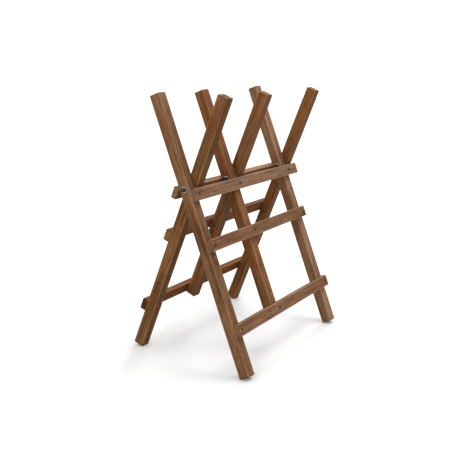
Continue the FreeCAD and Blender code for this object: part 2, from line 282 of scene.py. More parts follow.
@dataclass(frozen=True)
class StainedSoftwood:
    """Planed softwood under a brown preservative stain.

    The grain runs along the board's own Z. Sizes are in metres and colours are linear. The lit side tint is
    painted light on the outer face, and the edge wear is partly rubbing and partly a painted highlight on the
    long edges.
    """

    # Painted light: a lighter, cooler tint for the outer face, as if the lamps light it.
    lit_side_tint: Colour
    # Partly real rubbing and partly a painted highlight along the long edges.
    edge_wear_and_highlight: float
    pale: Colour = (0.129, 0.0595, 0.0233, 1.0)
    deep: Colour = (0.055, 0.0206, 0.0060, 1.0)
    russet: Colour = (0.116, 0.0384, 0.0134, 1.0)
    moss: Colour = (0.070, 0.048, 0.0208, 1.0)
    knot: Colour = (0.030, 0.011, 0.0045, 1.0)
    # The rubbed colour is partly wear and partly a painted highlight on the eased edges.
    rubbed: Colour = (0.240, 0.140, 0.072, 1.0)
    cut_end: Colour = (0.108, 0.053, 0.0235, 1.0)
    crack: Colour = (0.018, 0.010, 0.006, 1.0)
    ring_gap: float = 0.0052
    ring_strength: float = 0.55
    ring_drift: float = 0.030
    pith: tuple[float, float] = (0.041, -0.058)
    knot_swell: float = 0.010
    relief: float = 0.0007
    shine: float = 0.03

    def material(self, board: "Board") -> bpy.types.Material:
        """The finish for one board.

        Args:
            board: The board, whose place, ends, knots and seed the pattern follows.

        Returns:
            A material of that board's own.
        """
        graph = Graph(f"{board.piece}_finish")
        character = board.character
        origin = {"Location": tuple(board.frame.translation), "Rotation": tuple(board.frame.to_euler())}
        place = graph.node("ShaderNodeTexCoord", output="Object")
        local = graph.node("ShaderNodeMapping", {"vector_type": "TEXTURE"}, {"Vector": place, **origin})
        across, up, along = graph.split(local)

        def pattern(fine: float, long: float, shift: float, detail: float = 2, rough: float = 0.5) -> Signal:
            """Noise with that many bumps to a metre across the grain and along it."""
            return graph.noise(graph.stretched(local, (fine, fine, long)), board.seed + shift, detail, rough)

        # Growth rings round a pith outside the board, which bend round the knots
        drift, sway, _ = graph.split(pattern(7.0, 2.2, 0.0, detail=1.0).other_output("Color"))
        pith_x = self.pith[0] * (1.0 if board.seed % 2 < 1 else -1.0)
        from_pith_x = across + (drift - 0.5) * self.ring_drift + (pith_x + character.slope * 0.5)
        from_pith_x = from_pith_x - along * character.slope
        from_pith_y = up + (sway - 0.5) * self.ring_drift + self.pith[1]
        pith_distance = (from_pith_x * from_pith_x + from_pith_y * from_pith_y) ** 0.5
        core, halo = self._knots(graph, board, (across, up, along))
        ripple = pattern(60.0, 3.0, 1.7)
        rings = (pith_distance + halo * self.knot_swell) / self.ring_gap + (ripple - 0.5) * 1.1
        place_in_ring = rings.above_whole()
        late = place_in_ring.step(0.35, 0.90) * place_in_ring.step(1.0, 0.93)

        # Stain that has taken unevenly
        fibre = pattern(950.0, 26.0, 3.1, detail=3.0, rough=0.6)
        streak = pattern(120.0, 4.0, 4.9, detail=3.0, rough=0.55)
        patch = pattern(26.0, 7.5, 6.3, detail=3.0, rough=0.6)
        mottle = pattern(170.0, 60.0, 5.5)
        red_patch = pattern(21.0, 5.0, 8.2)
        green_patch = pattern(24.0, 6.0, 9.6)
        tone = (streak - 0.5) * 2.9 + (patch - 0.5) * 2.2 + 0.55
        colour = graph.blend(tone, self.deep, self.pale)
        colour = graph.blend(red_patch.step(0.50, 0.68) * 0.65, colour, self.russet)
        colour = graph.blend(green_patch.step(0.52, 0.70) * 0.60, colour, self.moss)
        colour = graph.blend(late * self.ring_strength, colour, self.deep)
        fleck = (fibre - 0.5) * 1.1 + (mottle - 0.5) * 0.9 + 1.0
        grey = graph.node("ShaderNodeCombineColor", None, {"Red": fleck, "Green": fleck, "Blue": fleck})
        colour = graph.tinted(colour, grey)
        colour = graph.blend(core * 0.72, colour, self.knot)
        # Painted light: the outer face is tinted lighter and cooler, as if lit.
        outside = self._lit_outer_face(board, across, up)
        colour = graph.blend(outside, colour, graph.tinted(colour, self.lit_side_tint))
        pooled = self._pooled_stain(board, up, along) * outside
        colour = graph.blend(pooled * 0.8, colour, self.knot)

        # Sawn ends, and the stain that they have drawn in
        ends = self._near_ends(board, along, 0.0011, 0.0009)
        soaked = self._near_ends(board, along, 0.0060, 0.0015)
        colour = graph.blend(soaked * (0.35 + streak * 0.5), colour, self.knot)
        colour = graph.blend(ends, colour, graph.blend(late * 0.45, self.cut_end, self.deep))
        cracks = self._end_cracks(graph, from_pith_x, from_pith_y, board.seed) * ends
        colour = graph.blend(cracks, colour, self.crack)
        # Darker towards both sawn ends.
        if character.end_darkening:
            darkened_end = ends * (patch.step(0.30, 0.55) * 0.4 + 0.6) * character.end_darkening
            colour = graph.blend(darkened_end, colour, self.knot)

        # Long edges, partly rubbed and partly a painted highlight, and each board's tint, partly painted
        # light, over everything
        edge = self._near_edges(board, across, up) * (1.0 - ends)
        # Painted highlight: the long edges are lightened as if the eased arris catches the light, besides
        # real rubbing.
        worn_and_highlit = edge * (patch * 0.6 + streak * 1.1 - 0.2).smaller(1.0).larger(0.0)
        colour = graph.blend(worn_and_highlit * self.edge_wear_and_highlight, colour, self.rubbed)
        # Painted shade: the top edge is darkened as if it lay in shade.
        if character.top_edge_shade:
            top = (board.high.y - up).step(0.0040, 0.0010)
            colour = graph.blend(top * character.top_edge_shade, colour, self.deep)
        # Painted light: each board's tint is partly its own tone and partly lightening that evens out the
        # shade between the legs.
        colour = graph.tinted(colour, character.tint)

        roughness = 0.60 + (fibre - 0.5) * 0.22 - late * 0.07 + ends * 0.16 + worn_and_highlit * 0.08
        height = fibre * 0.45 + late * 0.30 + streak * 0.25 - core * 0.25 - cracks * 2.2
        bump = graph.bump(0.55, self.relief, height)
        return graph.surface(
            {"Base Color": colour, "Roughness": roughness, "Normal": bump, "Specular IOR Level": self.shine}
        )

    @staticmethod
    def _knots(graph: Graph, board: "Board", point: tuple[Signal, Signal, Signal]) -> tuple[Signal, Signal]:
        """A board's knots.

        Args:
            graph: The material's graph.
            board: The board.
            point: The place across, up and along the board.

        Returns:
            The dark middles, and how far the grain swells round them.
        """
        across, up, along = point
        core, halo = along * 0.0, along * 0.0
        for number, knot in enumerate(board.character.knots):
            sideways = up if knot.way is Through.X else across
            run = (along - knot.along) * 0.72
            reach = sideways - knot.across
            distance = (run * run + reach * reach) ** 0.5 / knot.radius
            flat = graph.node("ShaderNodeCombineXYZ", None, {0: along, 1: sideways, 2: 0.0})
            mottle = graph.noise(graph.stretched(flat, (160.0, 160.0, 1.0)), board.seed + 11.0 + number)
            ragged = distance + (mottle - 0.5) * 0.5
            rim = (distance * 5.0).above_whole()
            core = core.larger(ragged.step(1.12, 0.80) * (0.72 + rim * 0.28))
            halo = halo + math.e ** (distance * distance * -0.16).larger(-8.0)
        return core, halo

    @staticmethod
    def _lit_outer_face(board: "Board", across: Signal, up: Signal) -> Signal:
        """1 on the outer face, where light is painted on, falling to 0 a few millimetres in."""
        depth = across - board.low.x if board.outer is Through.X else up - board.low.y
        return depth.step(0.0050, 0.0010)

    @staticmethod
    def _pooled_stain(board: "Board", up: Signal, along: Signal) -> Signal:
        """The darker ring that the stain leaves round each screw.

        Args:
            board: The board.
            up: The place up the board.
            along: The place along it.

        Returns:
            How dark it is, from 0 to 1.
        """
        rings = up * 0.0
        reach = up - (board.low.y + board.high.y) / 2
        for number, place in enumerate(board.screws):
            run = along - place
            distance = (run * run + reach * reach) ** 0.5
            rings = rings.larger(distance.step(0.0090, 0.0058) * (0.7 + 0.3 * (number % 2)))
        return rings

    @staticmethod
    def _near_ends(board: "Board", along: Signal, far: float, near: float) -> Signal:
        """1 nearer to a board's sawn ends than the one distance, and 0 past the other."""
        low, high = board.low.z, board.high.z
        return along.step(low + far, low + near).larger(along.step(high - far, high - near))

    @staticmethod
    def _near_edges(board: "Board", across: Signal, up: Signal) -> Signal:
        """1 on a board's long edges, falling to 0 on its faces.

        Args:
            board: The board.
            across: The place across the board.
            up: The place up it.

        Returns:
            The mask.
        """
        middle, half = (board.low + board.high) / 2, (board.high - board.low) / 2
        from_side = half.x - abs(across - middle.x)
        from_top = half.y - abs(up - middle.y)
        return from_side.larger(from_top).step(0.0050, 0.0016)

    @staticmethod
    def _end_cracks(graph: Graph, from_pith_x: Signal, from_pith_y: Signal, seed: float) -> Signal:
        """Fine drying cracks on a sawn end, running out from the pith.

        Args:
            graph: The material's graph.
            from_pith_x: The distance from the pith across the board.
            from_pith_y: The distance from it up the board.
            seed: Which cracks they are.

        Returns:
            The mask.
        """
        turn = from_pith_y.turn_from(from_pith_x)
        row = graph.node("ShaderNodeCombineXYZ", None, {0: turn * 13.0, 1: 0.0, 2: 0.0})
        return abs(graph.noise(row, seed + 20.0) - 0.5).step(0.016, 0.004)


@dataclass(frozen=True)
class ZincPlate:
    """Zinc plate on bolts, nuts and washers, darkened, blotched and still shiny; on the nuts and bolts the
    darkness is painted shade and dark reflection.
    """

    colour: Colour
    dull: Colour
    rough: float

    def material(self, name: str, seed: float) -> bpy.types.Material:
        """The finish for one fastener.

        Args:
            name: The material's name.
            seed: Which blotches it has.

        Returns:
            The material.
        """
        graph = Graph(name)
        place = graph.node("ShaderNodeTexCoord", output="Object")
        blotch = graph.noise(graph.stretched(place, (190.0, 190.0, 190.0)), seed, detail=3.0)
        scuff = graph.noise(graph.stretched(place, (1500.0, 600.0, 600.0)), seed + 2.0)
        dulled = blotch.step(0.45, 0.72)
        colour = graph.blend(dulled * 0.7, self.colour, self.dull)
        roughness = self.rough + dulled * 0.20 + (scuff - 0.5) * 0.16
        bump = graph.bump(0.25, 0.0002, scuff)
        return graph.surface({"Base Color": colour, "Metallic": 1.0, "Roughness": roughness, "Normal": bump})


@dataclass(frozen=True)
class DarkScrewSteel:
    """Dark coated screw steel, rubbed brighter where the driver turned."""

    coat: Colour = (0.034, 0.019, 0.009, 1.0)
    bare: Colour = (0.080, 0.052, 0.030, 1.0)

    def material(self, name: str, seed: float) -> bpy.types.Material:
        """The finish for one rail's screws.

        Args:
            name: The material's name.
            seed: Which rubs it has.

        Returns:
            The material.
        """
        graph = Graph(name)
        place = graph.node("ShaderNodeTexCoord", output="Object")
        rub = graph.noise(graph.stretched(place, (420.0, 420.0, 420.0)), seed, detail=3.0)
        bared = rub.step(0.52, 0.70)
        colour = graph.blend(bared * 0.6, self.coat, self.bare)
        roughness = 0.52 - bared * 0.16
        bump = graph.bump(0.3, 0.0002, rub)
        return graph.surface({"Base Color": colour, "Metallic": 0.85, "Roughness": roughness, "Normal": bump})


@dataclass(frozen=True)
class PaleFloor:
    """A plain pale studio floor that glows white away from the horse. Distances are in metres."""

    colour: Colour = (0.47, 0.47, 0.47, 1.0)
    clouded: Colour = (0.46, 0.46, 0.46, 1.0)
    glow_from: float = 0.8
    glow_to: float = 4.5
    glow: float = 0.28

    def material(self) -> bpy.types.Material:
        """The floor's finish.

        Returns:
            The material.
        """
        graph = Graph("pale_floor")
        place = graph.node("ShaderNodeTexCoord", output="Object")
        cloud = graph.noise(graph.stretched(place, (2.0, 2.0, 2.0)), 1.0)
        from_horse = graph.node("ShaderNodeVectorMath", {"operation": "LENGTH"}, {0: place}, output="Value")
        far = from_horse.step(self.glow_from, self.glow_to)
        return graph.surface(
            {
                "Base Color": graph.blend(cloud * 0.2, self.colour, self.clouded),
                "Roughness": 0.9,
                "Specular IOR Level": 0.1,
                "Emission Color": graph.blend(far, (0.0, 0.0, 0.0, 1.0), (1.0, 1.0, 1.0, 1.0)),
                "Emission Strength": self.glow,
            }
        )


# Bench work on meshes


PartTest = Callable[[list[Vector]], bool]
SMOOTH_BELOW = 32.0
MERGE_WITHIN = 2e-6


class Workpiece:
    """A mesh on the bench, started from a primitive and worked with edit-mode tools."""

    def __init__(self, name: str) -> None:
        """Takes the primitive that has just been added.

        Args:
            name: The name for its object and mesh.
        """
        self.obj = bpy.context.object
        self.obj.name = name
        self.obj.data.name = name

    @staticmethod
    def clear_bench() -> None:
        """Leaves nothing selected, in object mode."""
        if bpy.context.object and bpy.context.object.mode != "OBJECT":
            bpy.ops.object.mode_set(mode="OBJECT")
        bpy.ops.object.select_all(action="DESELECT")

    @classmethod
    def block(cls, name: str, low: Vector, high: Vector) -> "Workpiece":
        """A box.

        Args:
            name: Its name.
            low: Its lowest corner.
            high: Its highest corner.

        Returns:
            The box.
        """
        cls.clear_bench()
        bpy.ops.mesh.primitive_cube_add(size=1.0, location=(low + high) / 2, scale=high - low)
        piece = cls(name)
        piece.fix_place()
        return piece

    @classmethod
    def rod(cls, name: str, sides: int, radius: float, low: float, high: float) -> "Workpiece":
        """A prism round local Z.

        Args:
            name: Its name.
            sides: How many flats it has.
            radius: Its radius over the corners.
            low: Where it starts.
            high: Where it ends.

        Returns:
            The prism.
        """
        cls.clear_bench()
        middle = (0.0, 0.0, (low + high) / 2)
        bpy.ops.mesh.primitive_cylinder_add(vertices=sides, radius=radius, depth=high - low, location=middle)
        piece = cls(name)
        piece.fix_place()
        return piece

    @classmethod
    def turned(cls, name: str, sides: int, stations: Sequence[tuple[float, float]]) -> "Workpiece":
        """A shape turned round local Z, drawn out ring by ring.

        Args:
            name: Its name.
            sides: How many flats the ring has.
            stations: Height and radius of each ring, upwards.

        Returns:
            The closed shape.
        """
        cls.clear_bench()
        (low, first), (high, second) = stations[0], stations[1]
        middle = (0.0, 0.0, (low + high) / 2)
        bpy.ops.mesh.primitive_cone_add(
            vertices=sides, radius1=first, radius2=second, depth=high - low, location=middle
        )
        piece = cls(name)
        piece.fix_place()
        height, radius = high, second
        for next_height, next_radius in stations[2:]:
            level = height
            piece.choose("FACE", lambda ring: all(abs(corner.z - level) < 1e-6 for corner in ring))
            move = {"value": (0.0, 0.0, next_height - height)}
            bpy.ops.mesh.extrude_region_move(TRANSFORM_OT_translate=move)
            shrink = next_radius / radius
            bpy.ops.transform.resize(value=(shrink, shrink, 1.0), center_override=(0.0, 0.0, next_height))
            height, radius = next_height, next_radius
        piece.leave_edit()
        return piece

    def pick(self) -> None:
        """Selects this piece alone and makes it the active one."""
        self.clear_bench()
        self.obj.select_set(True)
        bpy.context.view_layer.objects.active = self.obj

    def fix_place(self) -> None:
        """Puts the object's own turn, place and scale into its mesh."""
        self.pick()
        bpy.ops.object.transform_apply(location=True, rotation=True, scale=True)

    def enter_edit(self, mode: str) -> bmesh.types.BMesh:
        """Opens the mesh for editing with nothing selected.

        Args:
            mode: VERT, EDGE or FACE.

        Returns:
            The open mesh.
        """
        if bpy.context.object is not self.obj or self.obj.mode != "EDIT":
            self.pick()
            bpy.ops.object.mode_set(mode="EDIT")
        bpy.ops.mesh.select_mode(type=mode)
        bpy.ops.mesh.select_all(action="DESELECT")
        return bmesh.from_edit_mesh(self.obj.data)

    def leave_edit(self) -> None:
        """Goes back to object mode."""
        bpy.ops.object.mode_set(mode="OBJECT")

    def choose(self, mode: str, test: PartTest) -> None:
        """Opens the mesh and selects some of its parts.

        Args:
            mode: VERT, EDGE or FACE.
            test: What the places of a part's corners have to pass.
        """
        mesh = self.enter_edit(mode)
        parts = {"VERT": mesh.verts, "EDGE": mesh.edges, "FACE": mesh.faces}[mode]
        for part in parts:
            corners = [part] if mode == "VERT" else part.verts
            if test([corner.co for corner in corners]):
                part.select_set(True)
        bmesh.update_edit_mesh(self.obj.data)

    def slice(self, point: tuple, normal: tuple) -> None:
        """Cuts the faces all round along a plane, and takes nothing away.

        Args:
            point: A point of the plane.
            normal: The way the plane faces.
        """
        self.enter_edit("FACE")
        bpy.ops.mesh.select_all(action="SELECT")
        bpy.ops.mesh.bisect(plane_co=point, plane_no=normal, threshold=1e-6)
        self.leave_edit()

    def mend(self, longest_gap: int = 0) -> None:
        """Merges doubles, closes small gaps and points the faces outwards.

        Args:
            longest_gap: How many edges the largest gap to close has.
        """
        self.enter_edit("VERT")
        bpy.ops.mesh.select_all(action="SELECT")
        bpy.ops.mesh.remove_doubles(threshold=MERGE_WITHIN)
        if longest_gap:
            bpy.ops.mesh.fill_holes(sides=longest_gap)
        bpy.ops.mesh.normals_make_consistent(inside=False)
        self.leave_edit()

    def apply(self, kind: str, **settings: object) -> None:
        """Adds a modifier and applies it.

        Args:
            kind: Its type.
            **settings: Its settings.
        """
        modifier = self.obj.modifiers.new(kind.lower(), kind)
        for key, value in settings.items():
            setattr(modifier, key, value)
        self.pick()
        bpy.ops.object.modifier_apply(modifier=modifier.name)

    def carve(self, tool: "Workpiece", way: str = "DIFFERENCE") -> None:
        """Cuts a tool's shape out of this one, or keeps only what they share, and puts the tool away."""
        self.apply("BOOLEAN", operation=way, object=tool.obj, solver="EXACT")
        tool.discard()

    def join(self, others: Sequence["Workpiece"]) -> None:
        """Makes one mesh of this and the others.

        Args:
            others: The pieces that go into this one.
        """
        self.pick()
        for other in others:
            other.obj.select_set(True)
        bpy.ops.object.join()

    def copy(self) -> "Workpiece":
        """The same shape again, with a mesh of its own.

        Returns:
            The copy, under the same name.
        """
        self.clear_bench()
        twin = self.obj.copy()
        twin.data = self.obj.data.copy()
        bpy.context.collection.objects.link(twin)
        twin.select_set(True)
        bpy.context.view_layer.objects.active = twin
        return Workpiece(self.obj.name)

    def settle(self, place: Matrix) -> None:
        """Moves the shape to its place, which goes into the mesh."""
        self.obj.matrix_world = place
        self.fix_place()

    def discard(self) -> None:
        """Takes the piece off the bench."""
        mesh = self.obj.data
        bpy.data.objects.remove(self.obj)
        bpy.data.meshes.remove(mesh)

    def smooth(self, degrees: float = SMOOTH_BELOW) -> None:
        """Shades smoothly across all but the sharper edges."""
        self.pick()
        bpy.ops.object.shade_smooth_by_angle(angle=math.radians(degrees), keep_sharp_edges=False)

    def hand_over(self, node: str, body: str, slot: str, material: bpy.types.Material) -> None:
        """Dresses the piece and puts it on its body in place of its node.

        Args:
            node: The node that it stands for.
            body: The body that it rides on.
            slot: The record's material slot; not used.
            material: Its finish.
        """
        self.obj.data.materials.clear()
        self.obj.data.materials.append(material)
        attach(self.obj, body)
        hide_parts(node)
        log.info("%s: %d faces", self.obj.name, len(self.obj.data.polygons))


# Timber


# How far the legs lean from upright when the horse is open
LEAN = math.radians(21.6)


@dataclass(frozen=True)
class Character:
    """How one board differs: its tint, partly its own tone and partly painted light, the slope of its grain,
    its knots, its darker sawn ends, and painted shade on its top edge.
    """

    tint: Colour
    slope: float
    knots: tuple[Knot, ...]
    # How much darker the sawn ends are.
    end_darkening: float = 0.0
    # How strongly shade is painted on the top edge.
    top_edge_shade: float = 0.0


# The tints are partly each board's own tone and partly painted light, lifting the faces that other parts
# shade.
BOARD_CHARACTER = {
    "front_leg_near": Character(
        (1.01, 1.10, 1.31, 1.0),
        0.020,
        (Knot(-0.30, 0.006, 0.008, Through.Y), Knot(0.22, -0.008, 0.004, Through.X)),
    ),
    "front_leg_middle": Character((1.09, 0.97, 0.92, 1.0), -0.016, (Knot(-0.38, -0.006, 0.005, Through.Y),)),
    "front_leg_far": Character(
        (1.25, 1.49, 1.99, 1.0),
        0.014,
        (Knot(-0.12, 0.004, 0.007, Through.Y), Knot(-0.60, -0.007, 0.006, Through.X)),
    ),
    "front_top_rail": Character((1.24, 1.38, 1.68, 1.0), -0.010, (Knot(0.735, 0.024, 0.009, Through.X),)),
    "front_middle_rail": Character((1.0, 1.03, 1.12, 1.0), 0.012, (Knot(0.53, 0.015, 0.006, Through.X),)),
    "front_bottom_rail": Character((1.05, 1.11, 1.24, 1.0), -0.014, (Knot(0.24, 0.030, 0.006, Through.X),)),
    "rear_leg_near": Character(
        (0.94, 0.95, 0.9, 1.0),
        0.018,
        (Knot(0.16, 0.007, 0.008, Through.Y), Knot(-0.44, -0.004, 0.007, Through.X)),
    ),
    "rear_leg_middle": Character((1.12, 1.05, 1.03, 1.0), -0.019, (Knot(0.05, -0.006, 0.006, Through.X),)),
    "rear_leg_far": Character(
        (1.10, 0.99, 0.80, 1.0),
        0.013,
        (Knot(0.28, 0.005, 0.007, Through.Y), Knot(-0.25, 0.003, 0.006, Through.X)),
    ),
    "rear_top_rail": Character((1.49, 1.56, 1.62, 1.0), 0.011, (Knot(0.31, 0.020, 0.007, Through.X),)),
    # Painted shade along this rail's top edge.
    "rear_middle_rail": Character(
        (1.31, 1.14, 1.00, 1.0), -0.013, (Knot(0.60, 0.028, 0.007, Through.X),), top_edge_shade=0.75
    ),
    # Darker towards both sawn ends.
    "rear_bottom_rail": Character(
        (1.18, 0.96, 0.75, 1.0), 0.015, (Knot(0.17, 0.018, 0.006, Through.X),), end_darkening=1.0
    ),
}


@dataclass
class Board:
    """One piece of timber in its own space, with Z along the grain. Sizes are in metres."""

    node: str
    body: str
    slot: str
    frame: Matrix
    low: Vector
    high: Vector
    edge_radius: float
    seed: float
    outer: Through
    screws: tuple[float, ...] = ()
    end_break: float = 0.0007
    cut_spacing: float = 0.022
    slices: tuple[float, ...] = (-0.28, -0.09, 0.09, 0.28)
    swell_size: float = 0.085
    swell_depth: float = 0.0008

    def __post_init__(self) -> None:
        """Names the finished piece and finds the board's character."""
        self.piece = f"{self.node}_board"
        self.character = BOARD_CHARACTER[self.node]

    def blank(self) -> Workpiece:
        """The board with its long edges eased and its ends barely broken.

        Returns:
            The blank, in the board's own space.
        """
        work = Workpiece.block(self.piece, self.low, self.high)
        work.choose("EDGE", lambda ends: abs(ends[0].z - ends[1].z) > 0.1)
        bpy.ops.mesh.bevel(offset=self.edge_radius, segments=4, affect="EDGES")
        for end in (self.low.z, self.high.z):
            work.choose("EDGE", lambda ends: all(abs(corner.z - end) < 1e-5 for corner in ends))
            bpy.ops.mesh.bevel(offset=self.end_break, segments=2, affect="EDGES")
        work.choose("EDGE", lambda ends: abs(ends[0].z - ends[1].z) > 0.1)
        bpy.ops.mesh.subdivide(number_cuts=round((self.high.z - self.low.z) / self.cut_spacing))
        work.leave_edit()
        middle, size = (self.low + self.high) / 2, self.high - self.low
        for share in self.slices:
            work.slice((middle.x + share * size.x, 0.0, 0.0), (1.0, 0.0, 0.0))
            work.slice((0.0, middle.y + share * size.y, 0.0), (0.0, 1.0, 0.0))
        return work

    def weather(self, work: Workpiece) -> None:
        """Lets the faces rise and fall a little under the planed size, after the board is in place.

        Args:
            work: The board.
        """
        swell = bpy.data.textures.new(f"{self.piece}_swell", "CLOUDS")
        swell.noise_scale = self.swell_size
        swell.noise_depth = 2
        depth = self.swell_depth
        work.apply("DISPLACE", texture=swell, texture_coords="LOCAL", mid_level=1.0, strength=depth)

    def finish(self, make_tool: Callable[["Board"], Workpiece], stain: StainedSoftwood) -> None:
        """Makes the board from its blank, in place.

        Args:
            make_tool: Makes the shape of its holes, in the board's own space.
            stain: Its finish.
        """
        work = self.blank()
        work.settle(self.frame)
        self.weather(work)
        tool = make_tool(self)
        tool.settle(self.frame)
        work.carve(tool)
        work.smooth()
        work.hand_over(self.node, self.body, self.slot, stain.material(self))


@dataclass(frozen=True)
class WoodScrew:
    """A countersunk wood screw with a star recess. Heights run from the head's flat, in metres."""

    steel: DarkScrewSteel = DarkScrewSteel()
    length: float = 0.0599
    head_radius: float = 0.0050
    head_rim: float = 0.0005
    head_height: float = 0.0037
    shank_radius: float = 0.0018
    thread_from: float = 0.027
    thread_to: float = 0.0520
    pitch: float = 0.0022
    root_radius: float = 0.00175
    crest_radius: float = 0.00242
    recess_radius: float = 0.0025
    recess_depth: float = 0.0023
    recess_waist: float = 0.72

    def make(self) -> Workpiece:
        """Turns the screw with its point up local Z, and sinks its recess.

        Returns:
            The screw.
        """
        teeth = []
        height = self.thread_from
        while height < self.thread_to:
            crest = [(height + 0.0010, self.crest_radius), (height + 0.0012, self.crest_radius)]
            teeth += [(height, self.root_radius), *crest]
            height += self.pitch
        stations = [
            (0.0, self.head_radius - 0.00015),
            (0.00015, self.head_radius),
            (self.head_rim, self.head_radius),
            (self.head_height, self.shank_radius),
            (self.thread_from - 0.0008, self.shank_radius),
            *teeth,
            (self.thread_to + 0.0025, self.root_radius),
            (self.length, 0.0001),
        ]
        work = Workpiece.turned("screw", 24, stations)
        star = Workpiece.rod("star_tool", 12, self.recess_radius, -0.001, self.recess_depth)
        star.choose("VERT", lambda at: round(math.degrees(math.atan2(at[0].y, at[0].x)) / 30.0) % 2 == 0)
        waist = (self.recess_waist, self.recess_waist, 1.0)
        bpy.ops.transform.resize(value=waist, center_override=(0.0, 0.0, 0.0))
        star.leave_edit()
        work.carve(star)
        work.smooth(35.0)
        return work


@dataclass
class TimberFrame:
    """One of the two frames: three legs, three rails and nine sunk screws. Sizes are in metres."""

    side: Side
    body: str
    seed: float
    # Both stains paint light on the outer faces and a highlight along the long edges.
    leg_stain: StainedSoftwood = StainedSoftwood(lit_side_tint=(1.19, 1.18, 1.32, 1.0), edge_wear_and_highlight=0.50)
    rail_stain: StainedSoftwood = StainedSoftwood(lit_side_tint=(1.06, 1.15, 1.42, 1.0), edge_wear_and_highlight=0.80)
    screw: WoodScrew = WoodScrew()
    lean: float = LEAN
    leg_side: float = 0.045
    above_pivot: float = 0.378
    below_pivot: float = 0.746
    rail_thickness: float = 0.024
    rail_height: float = 0.048
    leg_edge: float = 0.003
    rail_edge: float = 0.002
    drops: dict = field(default_factory=lambda: {Level.TOP: 0.008, Level.MIDDLE: 0.208, Level.BOTTOM: 0.541})
    bore: float = 0.00515
    bore_reach: float = 0.03
    pilot: float = 0.0026
    pilot_depth: float = 0.038
    sink_radius: float = 0.0052
    sink_depth: float = 0.0015
    hole_radius: float = 0.0027
    screw_sink: float = 0.0012

    def __post_init__(self) -> None:
        """Works out the frame's directions."""
        sign = 1.0 if self.side is Side.FRONT else -1.0
        self.up = Vector((0.0, sign * math.sin(self.lean), math.cos(self.lean)))
        self.inward = Vector((0.0, sign * math.cos(self.lean), -math.sin(self.lean)))
        self.along_rail = self.inward.cross(self.up)
        self.pivot = Vector(frame["joints"][0]["pos_m"])

    @staticmethod
    def _axes(first: Vector, second: Vector, third: Vector, origin: Vector) -> Matrix:
        """A placing matrix from three directions and a point."""
        return Matrix.Translation(origin) @ Matrix((first, second, third)).transposed().to_4x4()

    def _leg_board(self, pair: Pair) -> Board:
        """A leg's board, its Z up the leg from the pivot and its -Y outwards.

        Args:
            pair: The pair that the leg is in.

        Returns:
            The board.
        """
        node = f"{self.side.value}_leg_{pair.value}"
        low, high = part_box(node)
        origin = Vector(((low[0] + high[0]) / 2, 0.0, self.pivot.z))
        below = self.drops[Level.BOTTOM] + self.rail_height if pair is Pair.MIDDLE else self.below_pivot
        half = self.leg_side / 2
        return Board(
            node=node,
            body=self.body,
            slot="leg_timber",
            frame=self._axes(self.along_rail, self.inward, self.up, origin),
            low=Vector((-half, -half, -below)),
            high=Vector((half, half, self.above_pivot)),
            edge_radius=self.leg_edge,
            seed=self.seed + list(Pair).index(pair) * 3.37,
            outer=Through.Y,
        )

    def _rail_board(self, level: Level) -> Board:
        """A rail's board, its Z along the rail, its Y up the legs and its -X outwards.

        Args:
            level: Which rail it is.

        Returns:
            The board.
        """
        node = f"{self.side.value}_{level.value}_rail"
        low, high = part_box(node)
        foot = Vector((0.0, 0.0, self.pivot.z)) - self.inward * self.leg_side / 2
        foot -= self.up * (self.drops[level] + self.rail_height)
        foot.x = start = low[0] if self.along_rail.x > 0 else high[0]
        return Board(
            node=node,
            body=self.body,
            slot="rail_timber",
            frame=self._axes(self.inward, self.up, self.along_rail, foot),
            low=Vector((-self.rail_thickness, 0.0, 0.0)),
            high=Vector((0.0, self.rail_height, high[0] - low[0])),
            edge_radius=self.rail_edge,
            seed=self.seed + 11.0 + list(Level).index(level) * 2.71,
            outer=Through.X,
            screws=self._screw_places(start),
        )

    def _screw_places(self, start: float) -> tuple[float, ...]:
        """How far along a rail its three screws are, from the X where it starts."""
        legs = (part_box(f"{self.side.value}_leg_{pair.value}") for pair in Pair)
        return tuple(abs((low[0] + high[0]) / 2 - start) for low, high in legs)

    def _leg_tool(self, board: Board) -> Workpiece:
        """The bore for the pivot bolt and the three holes that the screws bite in.

        Args:
            board: The leg.

        Returns:
            The tool, in the leg's own space.
        """
        tool = Workpiece.rod("bore_tool", 48, self.bore, -self.bore_reach, self.bore_reach)
        tool.settle(Matrix.Rotation(math.pi / 2, 4, "Y"))
        drills = []
        for level in Level:
            mouth = Vector((0.0, board.low.y, -(self.drops[level] + self.rail_height / 2)))
            drill = Workpiece.rod("pilot_tool", 20, self.pilot, -0.002, self.pilot_depth)
            drill.settle(Matrix.Translation(mouth) @ Matrix.Rotation(-math.pi / 2, 4, "X"))
            drills.append(drill)
        tool.join(drills)
        return tool

    def _across_rail(self, board: Board, depth: float, along: float) -> Matrix:
        """A place on a rail's middle line, with local Z into it from its outer face."""
        mouth = Vector((board.low.x + depth, self.rail_height / 2, along))
        return Matrix.Translation(mouth) @ Matrix.Rotation(math.pi / 2, 4, "Y")

    def _rail_tool(self, board: Board) -> Workpiece:
        """The sunk and countersunk screw holes of a rail.

        Args:
            board: The rail.

        Returns:
            The tool, in the rail's own space.
        """
        stations = [
            (-0.001, self.sink_radius),
            (self.sink_depth, self.sink_radius),
            (self.sink_depth + self.sink_radius - self.hole_radius, self.hole_radius),
            (self.rail_thickness + 0.001, self.hole_radius),
        ]
        first = Workpiece.turned("sink_tool", 40, stations)
        tools = [first] + [first.copy() for _ in board.screws[1:]]
        for tool, along in zip(tools, board.screws):
            tool.settle(self._across_rail(board, 0.0, along))
        first.join(tools[1:])
        return first

